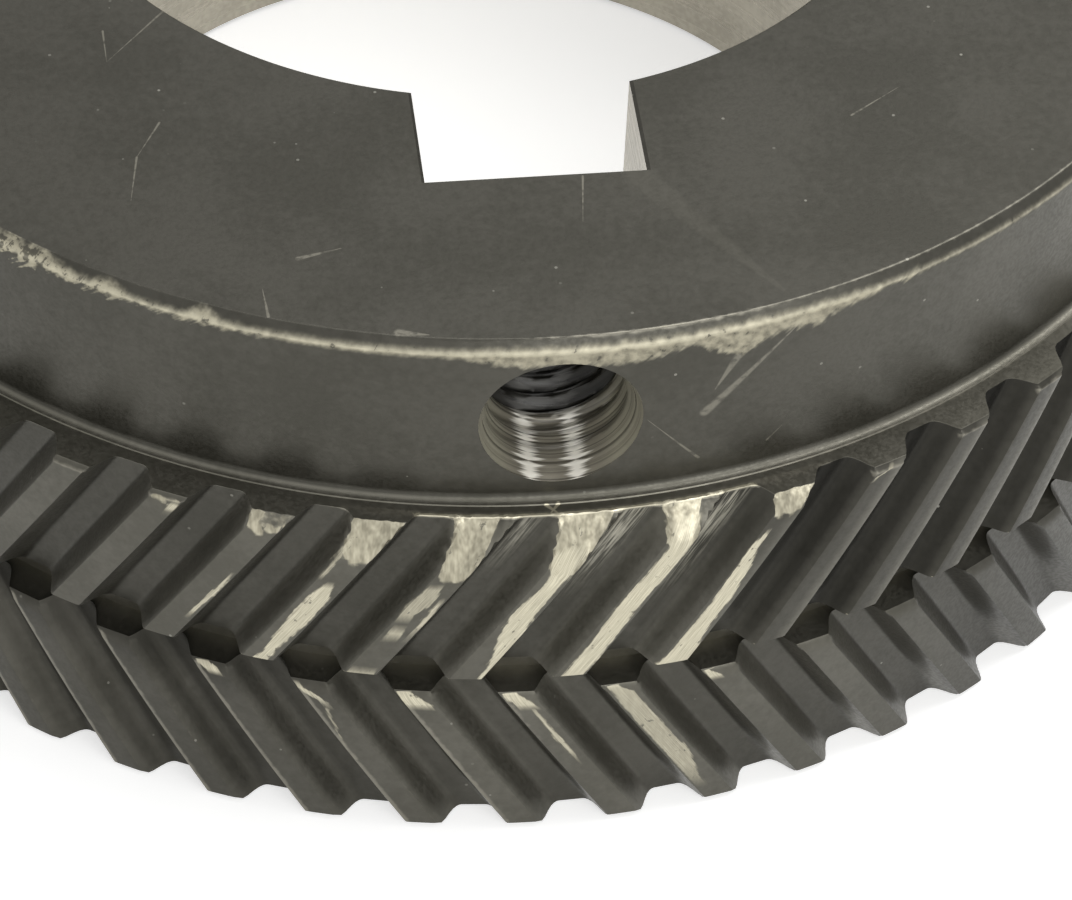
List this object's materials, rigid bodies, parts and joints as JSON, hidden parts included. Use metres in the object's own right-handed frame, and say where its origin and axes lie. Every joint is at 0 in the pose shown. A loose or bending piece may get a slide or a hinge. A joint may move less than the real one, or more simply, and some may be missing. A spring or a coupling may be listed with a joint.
{
  "type": "helical offset tooth belt sprocket",
  "caption": "One-piece black steel toothed-belt sprocket: two rows of opposed helical teeth set half a pitch apart, a plain hub, a keyed bore and a tapped set-screw hole.",
  "frame": {"origin": "middle of the bore at the toothed end face, which it rests on", "axes": "+Z along the bore towards the hub's end face, -Y through the middle of the keyway and the set-screw hole"},
  "size_m": [0.131, 0.131, 0.0493],
  "materials": {
    "black_oxide_steel": "black oxide steel with worn bare edges"
  },
  "bodies": {
    "root": {"sprocket": "black_oxide_steel"}
  },
  "joints": []
}
